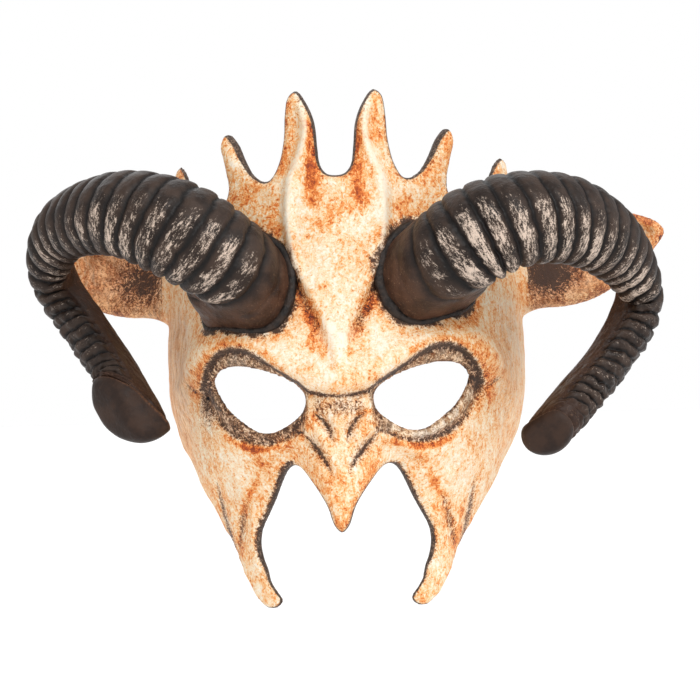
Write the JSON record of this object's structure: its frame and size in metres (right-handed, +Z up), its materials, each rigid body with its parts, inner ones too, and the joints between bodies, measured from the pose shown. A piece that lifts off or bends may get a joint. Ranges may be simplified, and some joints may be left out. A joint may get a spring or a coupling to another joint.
{
  "type": "horned half mask",
  "caption": "Horned demon half mask with a spiked crown, beak nose, leaf ears and curled ribbed horns, worn on a headband.",
  "frame": {"origin": "middle of the plane of the shell's back rim, at the height of the eyes, where the wearer's head is", "axes": "+Z up, +X to the right as seen from the front, +Y towards the wearer; the face looks along -Y"},
  "size_m": [0.2772, 0.1916, 0.2141],
  "materials": {
    "bone": "hand painted cast resin, ivory with orange-brown mottling and umber in the creases",
    "horn": "near-black paint, dry brushed with pale beige on the ribs' crests",
    "horn_cap": "smooth dark brown paint with a low sheen",
    "collar": "black paint with some gloss",
    "foam": "soft foam faced with knitted cloth",
    "webbing": "flat woven elastic",
    "steel": "plated",
    "plastic": "moulded"
  },
  "bodies": {
    "mask": {"face_shell": "bone", "horn_left": "horn", "horn_cap_left": "horn_cap", "horn_collar_left": "collar", "horn_right": "horn", "horn_cap_right": "horn_cap", "horn_collar_right": "collar", "horn_washer_left": "steel", "horn_screw_left": "steel", "horn_washer_right": "steel", "horn_screw_right": "steel", "ear_left": "bone", "ear_right": "bone", "brow_pad": "foam", "cheek_pad_left": "foam", "cheek_pad_right": "foam", "strap_tab_left": "webbing", "strap_rivet_left": "steel", "strap_tab_right": "webbing", "strap_rivet_right": "steel"},
    "headband": {"headband": "webbing"},
    "adjuster": {"strap_adjuster": "plastic"}
  },
  "joints": [
    {"name": "headband_swing", "type": "hinge", "parent": "mask", "child": "headband", "pos_m": [0, 0.01, 0.038], "axis": [1, 0, 0], "range_deg": [-55, 50]},
    {"name": "adjuster_slide", "type": "slide", "parent": "headband", "child": "adjuster", "axis": [1, 0, 0], "range_m": [-0.022, 0.022]}
  ]
}
